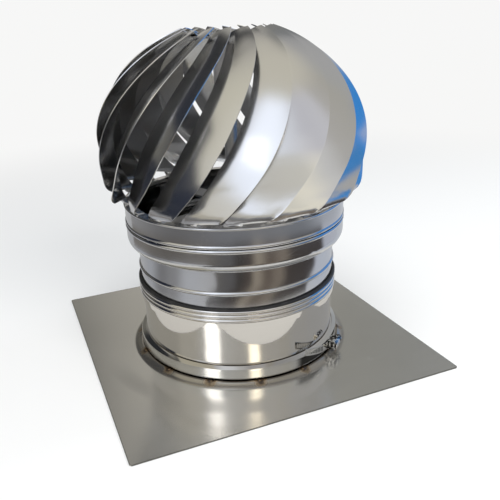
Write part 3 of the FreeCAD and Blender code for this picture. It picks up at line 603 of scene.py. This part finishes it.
def metal(name, dark, light, roughness, metallic=1.0, cloud=0.08, grain=0.05, cloud_scale=22.0,
          grain_scale=900.0, stretch=(1, 1, 1), wave=0.4, bump=0.0003, scratch=0.25, edge=0.5,
          edge_radius=0.0006, marks=(), lean=None):
    """Metal between a dark and a light tone.

    Cloud, grain and wave are the strengths of the sheet group, and stretch draws the grain out along
    an axis. Bump is the height of the wave in metres, and scratch and edge are how bright those marks
    are. Marks and lean are functions from the cell above.
    """
    material, tree, place = start_material(name)
    sheet = place_group(tree, sheet_group, Vector=place, Stretch=stretch, Cloud_Scale=cloud_scale,
                        Grain_Scale=grain_scale, Roughness=roughness, Cloud=cloud, Grain=grain, Wave=wave)
    scratches = place_group(tree, scratch_group, Vector=place)["Mask"]
    edges = place_group(tree, edge_group, Radius=edge_radius)["Mask"]
    colour = blend_colour(tree, sheet["Tone"], dark, light)
    bright = tuple(min(1.0, channel * 1.15 + 0.04) for channel in light)
    # Edges: bright sheared metal, lightened also as a painted glint.
    colour = blend_colour(tree, product(tree, edges, edge), colour, bright)
    colour = blend_colour(tree, product(tree, scratches, scratch), colour, bright)
    rough = math_node(tree, "MULTIPLY_ADD", scratches, 0.15 * scratch, sheet["Roughness"])
    for mark in marks:
        colour, rough = mark(tree, place, colour, rough)
    normal = add_node(tree, "Bump", Height=sheet["Height"], Strength=1.0, Distance=bump)
    if lean:
        feed(tree, normal.inputs["Normal"], lean(tree, place))
    return dress(material, colour, rough, normal, metallic)


# %% [markdown]
# Rubber and weld metal are no rolled sheets, so they have recipes of their own. The lip is black with
# dust in its grain, and a tack keeps the temper colours of its heat, as a ramp over the same noise that
# makes it lumpy.

# %% Rubber and weld metal
def seal_rubber(name):
    material, tree, place = start_material(name)
    dust = noise(tree, place, 70.0, 5.0)
    colour = blend_colour(tree, range_node(tree, dust, 0.45, 0.8), (0.012, 0.012, 0.013),
                          (0.045, 0.043, 0.04))
    normal = add_node(tree, "Bump", Height=noise(tree, place, 1400.0, 2.0), Strength=0.5, Distance=0.0002)
    return dress(material, colour, range_node(tree, dust, 0.3, 0.8, 0.42, 0.62), normal, 0.0)


def weld_metal(name):
    material, tree, place = start_material(name)
    patch = noise(tree, place, 260.0, 3.0)
    colour = ramp(tree, patch, [
        (0.2, (0.035, 0.028, 0.022)), (0.42, (0.10, 0.065, 0.04)), (0.55, (0.24, 0.17, 0.10)),
        (0.68, (0.07, 0.07, 0.09)), (0.8, (0.30, 0.27, 0.23))])
    normal = add_node(tree, "Bump", Height=patch, Strength=0.6, Distance=0.0006)
    return dress(material, colour, range_node(tree, patch, 0.3, 0.7, 0.28, 0.55), normal, 1.0)


# %% [markdown]
# What tells these metals apart is how rough, how cloudy and how light they are. The blades are satin
# sheet, the stub is polished, and the closure's small parts are mottled nearly to black, a painted shade
# of their recesses. A piece gets the finish that its slot names, apart from the collar, the strap and the
# closure, which look different from what shares their slot.

# %% Finishes
clamp_tones = dict(dark=(0.56, 0.55, 0.52), light=(0.74, 0.73, 0.70), roughness=0.11, cloud=0.05, grain=0.04)
metals = {
    "blade_sheet": dict(
        dark=grey(0.68), light=(0.76, 0.755, 0.745), roughness=0.19, cloud=0.025, grain=0.035,
        cloud_scale=30.0, wave=0.3, bump=0.0002, scratch=0.03, edge=0.8),
    "spun_sheet": dict(
        dark=(0.54, 0.54, 0.55), light=(0.70, 0.70, 0.69), roughness=0.12, cloud=0.05, grain=0.025,
        grain_scale=500.0, stretch=(1, 1, 6), wave=0.7, bump=0.0005, scratch=0.4),
    "polished_stainless": dict(
        dark=(0.60, 0.575, 0.54), light=(0.74, 0.72, 0.68), roughness=0.06, cloud=0.03, grain=0.02,
        wave=0.5, bump=0.0004, scratch=0.35),
    "plate_sheet": dict(
        dark=(0.62, 0.605, 0.56), light=(0.72, 0.705, 0.66), roughness=0.20, metallic=0.88, cloud=0.06,
        grain=0.04, cloud_scale=14.0, grain_scale=380.0, stretch=(0.08, 1, 1), edge=0.15,
        marks=(weld_marks_and_shade, cut_edge), lean=soft_rise),
    # The collar is darker and browner than the stub, which is partly painted shade below the clamp band.
    "collar_sheet": dict(
        dark=(0.50, 0.475, 0.43), light=(0.64, 0.61, 0.56), roughness=0.10, cloud=0.06, grain=0.03,
        wave=0.5, bump=0.0004, scratch=0.3, marks=(weld_marks_and_shade,)),
    # The strap carries the painted shade under the closure.
    "strap_sheet": dict(clamp_tones, marks=(painted_closure_shade,)),
    # Mottled nearly to black: a painted shade of the closure's recesses.
    "closure_steel_painted_shade": dict(
        clamp_tones, dark=grey(0.02), roughness=0.17, cloud=2.6, cloud_scale=260.0, grain=0.05, edge=0.9,
        edge_radius=0.0005),
    "clamp_steel": clamp_tones,
    "fastener_steel": dict(dark=grey(0.42), light=(0.62, 0.62, 0.61), roughness=0.28, cloud=0.12),
    "bracket_steel": dict(
        dark=(0.36, 0.36, 0.37), light=grey(0.55), roughness=0.34, cloud=0.12, grain=0.08,
        stretch=(0.1, 0.1, 1)),
    "rivet_steel": dict(dark=grey(0.34), light=grey(0.52), roughness=0.30, cloud=0.12),
    "axle_steel": dict(dark=(0.45, 0.45, 0.46), light=grey(0.62), roughness=0.22, stretch=(0.2, 0.2, 3)),
    "bearing_steel": dict(dark=(0.55, 0.55, 0.56), light=grey(0.74), roughness=0.09, cloud=0.03),
    "hub_metal": dict(dark=(0.50, 0.50, 0.51), light=grey(0.68), roughness=0.30, stretch=(0.2, 0.2, 3)),
    "cap_sheet": dict(dark=grey(0.50), light=(0.68, 0.68, 0.67), roughness=0.24),
}
materials = {name: metal(name, **numbers) for name, numbers in metals.items()}
materials.update(seal_rubber=seal_rubber("seal_rubber"), weld_metal=weld_metal("weld_metal"))

slot_of = {entry["node"]: entry["material_slot"] for entry in frame["record"]["subparts"]}
finish_of = dict(slot_of, base_collar="collar_sheet", clamp_strap="strap_sheet")
for name, node in nodes.items():
    node.data.materials.clear()
    node.data.materials.append(materials[finish_of[name]])
print("finished", len(nodes), "nodes with", len(materials), "materials")

# %% [markdown]
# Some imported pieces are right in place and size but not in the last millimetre. Such a piece starts as a
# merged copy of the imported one, or as a primitive that edit mode turns into the piece. These helpers do
# what every piece needs: begin with nothing selected, and hand the piece over to its body at the end.

# %% Helpers that model pieces
def alone(piece):
    """Make a piece the only selected one, and the active one."""
    bpy.ops.object.select_all(action="DESELECT")
    piece.select_set(True)
    bpy.context.view_layer.objects.active = piece


def smooth(piece, angle=35):
    """Shade smooth, except at edges that turn by more than an angle in degrees."""
    alone(piece)
    bpy.ops.object.shade_smooth_by_angle(angle=math.radians(angle))


def merged_copy(node_name, name):
    """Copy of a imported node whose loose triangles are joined, with its smooth faces shaded smooth."""
    piece = nodes[node_name].copy()
    piece.data = nodes[node_name].data.copy()
    piece.name = piece.data.name = name
    piece.animation_data_clear()
    bpy.context.collection.objects.link(piece)
    alone(piece)
    if piece.data.has_custom_normals:
        bpy.ops.mesh.customdata_custom_splitnormals_clear()
    bpy.ops.object.mode_set(mode="EDIT")
    bpy.ops.mesh.select_all(action="SELECT")
    bpy.ops.mesh.remove_doubles(threshold=0.00001)
    bpy.ops.object.mode_set(mode="OBJECT")
    smooth(piece)
    return piece


def discard(*pieces):
    for piece in pieces:
        bpy.data.objects.remove(piece)


def hand_over(piece, body, slot, *replaced, finish=None):
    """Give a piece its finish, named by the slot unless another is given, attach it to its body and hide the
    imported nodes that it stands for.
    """
    piece.data.materials.clear()
    piece.data.materials.append(materials[finish or slot])
    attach(piece, body)
    if replaced:
        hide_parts(*replaced)


# %% [markdown]
# The louvres are strips that were rolled along their length and stayed almost flat across it, so each
# strip shows one tone and its neighbour another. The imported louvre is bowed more. One copy is pressed
# flatter between its two edges, which stay where they are, and that copy is turned round the rotor.
# The press needs the line of both edges, so the ball that they follow is written down here again, in mm
# and degrees. "Share" is the share of the way from a louvre's foot to its tip.

# %% Louvre blades
blade_count, first_blade_turn = 18, 8.0
ball_radius, ball_middle = 161.4, 268.8
height_below, height_above = 121.1, 135.0  # the flattened ball from its middle to its ends
power_below, power_above = 0.74, 1.067     # under 1 it is fuller than an ellipse, over 1 slimmer
foot_angle, blade_sweep = -23.5, 92.8
foot_seat, tip_seat = (133.6, 198.5), (50.6, 386.8)  # radius and height of the tucked edge's ends
tuck_depth = (19.0, 8.3, 16.0)             # tucked edge inside the ball: at foot, at tip, more between
tuck_turn = (19.8, 24.3, -19.2)            # tucked edge behind the raised one, in the same order
twist_middle, twist, end_twist = 32.4, 27.3, 20.7    # above the ball's middle, and per height_above
bow_share, bow_kept, foot_bow = 0.055, 0.55, 0.01    # bow as a share of the width
packed_foot_bow = -0.09


def along_blade(share, foot, tip, between):
    return foot * (1 - share) + tip * share + between * share * (1 - share)


def ball_edge(angle):
    """Radius, height and outward direction on the flattened ball, at angles above its middle."""
    side = np.sign(angle)
    height = np.where(angle < 0, height_below, height_above)
    power = np.where(angle < 0, power_below, power_above)
    sine, cosine = abs(np.sin(np.radians(angle))), np.cos(np.radians(angle))
    out_r, out_z = cosine ** (2 - power) / ball_radius, side * sine ** (2 - power) / height
    size = np.hypot(out_r, out_z)
    z = ball_middle + side * height * sine ** power
    return ball_radius * cosine ** power, z, out_r / size, out_z / size


def edge_lines(share, first_turn):
    """Points of the raised and the tucked edge, in metres."""
    radius, z, out_r, out_z = ball_edge(foot_angle + blade_sweep * share)
    depth = along_blade(share, *tuck_depth)
    near_foot, near_tip = (1 - share) ** 6, share ** 6
    tuck_radius, tuck_z = (
        line + (foot - line[0]) * near_foot + (tip - line[-1]) * near_tip
        for line, foot, tip in zip((radius - depth * out_r, z - depth * out_z), foot_seat, tip_seat))
    rise = (z - ball_middle - twist_middle) / height_above
    turn = np.radians(first_turn + twist * rise + end_twist * rise ** 3)
    back = turn - np.radians(along_blade(share, *tuck_turn))
    raised = np.stack([radius * np.cos(turn), radius * np.sin(turn), z], axis=1) / 1000
    tucked = np.stack([tuck_radius * np.cos(back), tuck_radius * np.sin(back), tuck_z], axis=1) / 1000
    return raised, tucked


def reshape_bow(piece, first_turn):
    """Move every point of a louvre along its section's normal until the section has the wanted bow."""
    share = np.linspace(0.0, 1.0, 1201)
    raised, tucked = edge_lines(share, first_turn)
    across = raised - tucked
    normal = np.cross(across, np.gradient(raised + tucked, axis=0))
    normal /= np.linalg.norm(normal, axis=1)[:, None]
    width = np.linalg.norm(across, axis=1)
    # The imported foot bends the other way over 18 % of the length. The tip's tongue stays as it is.
    packed_bow = bow_share - (bow_share - packed_foot_bow) * np.clip(1 - share / 0.18, 0, 1) ** 1.5
    wanted_bow = foot_bow + (bow_share * bow_kept - foot_bow) * np.clip(share / 0.3, 0, 1)
    to_tip = np.clip((share - 0.82) / 0.15, 0, 1)
    change = (wanted_bow - packed_bow) * width * (1 - to_tip * to_tip * (3 - 2 * to_tip))
    for vertex in piece.data.vertices:
        place = np.array(vertex.co)
        along = np.clip(((place - tucked) * across).sum(axis=1) / width ** 2, 0, 1)
        gap = np.linalg.norm(place - tucked - across * along[:, None], axis=1)
        best = int(gap.argmin())
        off_seat = min(max((place[2] - 0.1986) / 0.001, 0), 1)  # the tongue on the ring stays as it is
        push = change[best] * 4 * along[best] * (1 - along[best]) * off_seat
        vertex.co = Vector(place + normal[best] * push)


louvre = merged_copy("blade_01", "louvre_01")
reshape_bow(louvre, first_blade_turn)
smooth(louvre)
print("louvre", len(louvre.data.polygons), "faces")
for number in range(1, blade_count + 1):
    piece = louvre
    if number > 1:
        piece = bpy.data.objects.new("louvre_%02d" % number, louvre.data.copy())
        piece.data.transform(Matrix.Rotation(math.radians(360 / blade_count * (number - 1)), 4, "Z"))
        bpy.context.collection.objects.link(piece)
    hand_over(piece, "rotor", "blade_sheet", "blade_%02d" % number)

# %% [markdown]
# Turned pieces, such as rivet heads, caps and seals, are drawn as half a section. The lathe helper starts
# from a circle, pulls its edge from one radius and height to the next, and closes both ends or joins them
# to a ring. That is quicker to change than a cylinder whose loops are cut and scaled one at a time.

# %% Lathe and copies
def lathe(name, section, segments=32, ring=False):
    """Turned piece from a section of (radius, height) points in mm, listed upwards along the outside."""
    section = [(radius / 1000, height / 1000) for radius, height in section]
    bpy.ops.object.select_all(action="DESELECT")
    radius, height = section[0]
    bpy.ops.mesh.primitive_circle_add(vertices=segments, radius=radius, fill_type="NOTHING",
                                      location=(0, 0, 0))
    piece = bpy.context.object
    piece.name = piece.data.name = name
    bpy.ops.object.mode_set(mode="EDIT")
    bpy.ops.mesh.select_all(action="SELECT")
    bpy.ops.transform.translate(value=(0, 0, height))
    for before, after in zip(section, section[1:]):
        bpy.ops.mesh.extrude_region_move(TRANSFORM_OT_translate={"value": (0, 0, after[1] - before[1])})
        growth = after[0] / before[0]
        bpy.ops.transform.resize(value=(growth, growth, 1), center_override=(0, 0, after[1]))
    if ring:
        bpy.ops.mesh.select_all(action="DESELECT")
        bpy.ops.mesh.select_non_manifold()
        bpy.ops.mesh.bridge_edge_loops()
    else:
        bpy.ops.mesh.edge_face_add()
        bpy.ops.mesh.select_all(action="DESELECT")
        bpy.ops.mesh.select_non_manifold()
        bpy.ops.mesh.edge_face_add()
    bpy.ops.mesh.select_all(action="SELECT")
    bpy.ops.mesh.normals_make_consistent(inside=False)
    bpy.ops.object.mode_set(mode="OBJECT")
    smooth(piece)
    return piece


def joined(name, pieces):
    """One piece from several."""
    bpy.ops.object.select_all(action="DESELECT")
    for piece in pieces:
        piece.select_set(True)
    bpy.context.view_layer.objects.active = pieces[0]
    bpy.ops.object.join()
    piece = bpy.context.object
    piece.name = piece.data.name = name
    return piece


def set_round(master, name, count, radius, height, first_turn):
    """Copies of a master set on a circle in mm, each turned outwards, joined to one piece."""
    copies = []
    for index in range(count):
        turn = math.radians(first_turn + 360 * index / count)
        copy = bpy.data.objects.new(name, master.data.copy())
        copy.data.transform(Matrix.Rotation(turn, 4, "Z")
                            @ Matrix.Translation((radius / 1000, 0, height / 1000)))
        bpy.context.collection.objects.link(copy)
        copies.append(copy)
    return joined(name, copies)


# %% [markdown]
# The seal is an extruded rubber lip that sits on the socket's mouth and hugs the neck. It is low on the
# camera's side and stands up elsewhere. It is turned as a ring with a rounded top and a small groove,
# and its height is then eased down round the camera's side.

# %% Socket seal
seal_foot = 95.25
low_side, low_width, lowering = math.radians(camera_azimuth), math.radians(75), 0.58
seal = lathe("seal_lip", [
    (124.25, seal_foot), (127.5, seal_foot), (127.8, 95.6), (127.8, 97.3), (127.5, 98.1), (126.9, 98.6),
    (126.2, 98.8), (125.6, 98.3), (125.1, 98.75), (124.6, 98.8), (124.3, 98.4)], segments=192, ring=True)
# Lowest on the camera's side, and standing up elsewhere.
for vertex in seal.data.vertices:
    turn = math.atan2(vertex.co.y, vertex.co.x) - low_side
    turn = abs((turn + math.pi) % (2 * math.pi) - math.pi)
    ease = 0.5 + 0.5 * math.cos(math.pi * min(turn / low_width, 1.0))
    uneven = 1.0 + 0.04 * math.sin(7 * turn + 1.0) + 0.03 * math.sin(17 * turn)
    kept = (1 - lowering * ease) * min(uneven, 1.0)
    vertex.co.z = seal_foot / 1000 + (vertex.co.z - seal_foot / 1000) * kept
smooth(seal, 50)
hand_over(seal, "base", "seal_rubber", "socket_seal")
print("seal", len(seal.data.polygons), "faces")

# %% [markdown]
# Fourteen tack welds hold the collar's foot to the plate. A tack is a small heap of metal that froze while
# it flowed: low, longer along the seam, and lumpy. One is modelled from a ball that is flattened, pushed
# about at random with a fixed seed and smoothed, and each copy is pushed a little differently.

# %% Tack welds
random.seed(4)
tacks = []
for index in range(weld_count):
    bpy.ops.object.select_all(action="DESELECT")
    bpy.ops.mesh.primitive_ico_sphere_add(subdivisions=4, radius=0.001, location=(0, 0, 0))
    tack = bpy.context.object
    bpy.ops.object.mode_set(mode="EDIT")
    bpy.ops.mesh.select_all(action="SELECT")
    size = (random.uniform(2.0, 2.5), random.uniform(3.0, 4.4), random.uniform(1.3, 1.7))
    bpy.ops.transform.resize(value=size)
    bpy.ops.transform.vertex_random(offset=0.0005, uniform=0.1, normal=0.9, seed=index + 1)
    bpy.ops.mesh.vertices_smooth(factor=0.6, repeat=3)
    bpy.ops.object.mode_set(mode="OBJECT")
    turn = math.radians(first_weld_turn + 360 * index / weld_count)
    tack.data.transform(Matrix.Rotation(turn, 4, "Z") @ Matrix.Translation((weld_radius, 0, weld_height)))
    smooth(tack, 60)
    tacks.append(tack)
tack_welds = joined("tack_welds", tacks)
hand_over(tack_welds, "base", "weld_metal", "collar_welds")
print(len(tacks), "tack welds,", len(tack_welds.data.polygons), "faces")

# %% [markdown]
# Blind rivets have a low domed head with the pit that the pulled pin leaves. One head with its shank is
# turned, with the sheet's face at zero and the shank below, then copied to the ring's flange and to the
# top disc, where the blades' feet and tips lie.

# %% Rivets
rivet_grip = 1.6
flat_rivet = lathe("rivet", [
    (0.9, -rivet_grip - 1.35), (1.45, -rivet_grip - 1.3), (1.6, -rivet_grip - 1.0), (1.6, -0.02),
    (3.05, 0.0), (3.1, 0.2), (2.95, 0.48), (2.4, 0.8), (1.7, 1.0), (1.2, 1.08), (1.0, 1.06), (0.9, 0.5),
    (0.2, 0.4)], segments=20)
for name, packed, radius, height, first_turn in (
        ("foot_rivet_heads", "foot_rivets", 128.70, foot_seat[1], 7.73),
        ("tip_rivet_heads", "tip_rivets", 40.75, tip_seat[1], 16.54)):
    heads = set_round(flat_rivet, name, blade_count, radius, height, first_turn)
    hand_over(heads, "rotor", "rivet_steel", packed)
print("rivets", len(flat_rivet.data.polygons), "faces each")

# %% [markdown]
# The cap and the screws are what shows from above. The cap is pressed sheet: a brim, a rounded shoulder
# and a dished crown. The screws are pan heads with a cross recess, cut with a boolean from two crossed
# bars, because that leaves crisp walls where a bevelled groove would need many hand-placed loops.

# %% Hub cap and pan-head screws
cap = lathe("pressed_cap", [
    (12.65, 383.8), (13.4, 383.8), (13.45, 385.9), (16.3, 386.02), (16.5, 386.3), (16.4, 386.7),
    (14.2, 386.8), (13.6, 387.0), (13.1, 387.6), (12.6, 389.0), (12.0, 390.0), (11.2, 390.5),
    (10.2, 390.6), (9.4, 390.4), (8.8, 389.9), (7.6, 389.7), (0.3, 389.85)], segments=64)
hand_over(cap, "rotor", "cap_sheet", "hub_cap")


def pan_screw():
    """Pan-head screw that points along +Z, with the sheet's face at zero."""
    head = lathe("pan_screw", [
        (1.5, -5.7), (1.95, -5.3), (1.95, -0.02), (3.5, 0.0), (3.6, 0.35), (3.55, 0.9), (3.2, 1.5),
        (2.5, 1.85), (1.4, 1.98), (0.3, 2.0)], segments=32)
    bars = []  # 3.4 mm long and 0.75 mm wide, and they reach 1.2 mm down into the crown
    for turn in (0, 90):
        bpy.ops.object.select_all(action="DESELECT")
        bpy.ops.mesh.primitive_cube_add(size=0.001, location=(0, 0, 0))
        bpy.ops.object.mode_set(mode="EDIT")
        bpy.ops.mesh.select_all(action="SELECT")
        bpy.ops.transform.resize(value=(3.4, 0.75, 2.6))
        bpy.ops.transform.translate(value=(0, 0, 0.0021))
        bpy.ops.object.mode_set(mode="OBJECT")
        bpy.context.object.data.transform(Matrix.Rotation(math.radians(turn), 4, "Z"))
        bars.append(bpy.context.object)
    for bar in bars:
        alone(head)
        cut = head.modifiers.new("recess", "BOOLEAN")
        cut.operation, cut.object, cut.solver = "DIFFERENCE", bar, "EXACT"
        bpy.ops.object.modifier_apply(modifier=cut.name)
    discard(*bars)
    smooth(head, 40)
    return head


screw = pan_screw()
screws = set_round(screw, "pan_screws", 4, radius=22.25, height=386.0, first_turn=45.0)
hand_over(screws, "rotor", "fastener_steel", "hub_screws")
print("cap and screws", len(cap.data.polygons), len(screw.data.polygons), "faces")

# %% [markdown]
# The clamp's closure is small pressed and turned steel. Its edges are broken by tumbling, so each piece is
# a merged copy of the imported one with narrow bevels. They catch the light as thin bright lines. The nuts on
# the axle get the same.

# %% Clamp closure and nuts
def broken_edges(node_name, name, width, body, finish=None):
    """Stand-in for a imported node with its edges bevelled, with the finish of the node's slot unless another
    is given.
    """
    piece = merged_copy(node_name, name)
    bevel = piece.modifiers.new("broken", "BEVEL")
    bevel.width, bevel.segments = width, 2
    bevel.limit_method, bevel.angle_limit = "ANGLE", math.radians(40)
    bevel.use_clamp_overlap = True
    bpy.ops.object.modifier_apply(modifier=bevel.name)
    smooth(piece)
    hand_over(piece, body, slot_of[node_name], node_name, finish=finish)
    return piece


housing = broken_edges("worm_housing", "closure_housing", 0.0003, "base", "closure_steel_painted_shade")
closure_screw = broken_edges("worm_screw", "closure_screw", 0.0003, "clamp_screw", "closure_steel_painted_shade")
nuts = broken_edges("axle_nuts", "beveled_nuts", 0.0004, "head")
print("closure", len(housing.data.polygons), len(closure_screw.data.polygons),
      "nuts", len(nuts.data.polygons), "faces")

# %% [markdown]
# The one rivet and the one screw that were copied are no pieces themselves, so they go.

# %% Clear the masters
discard(flat_rivet, screw)
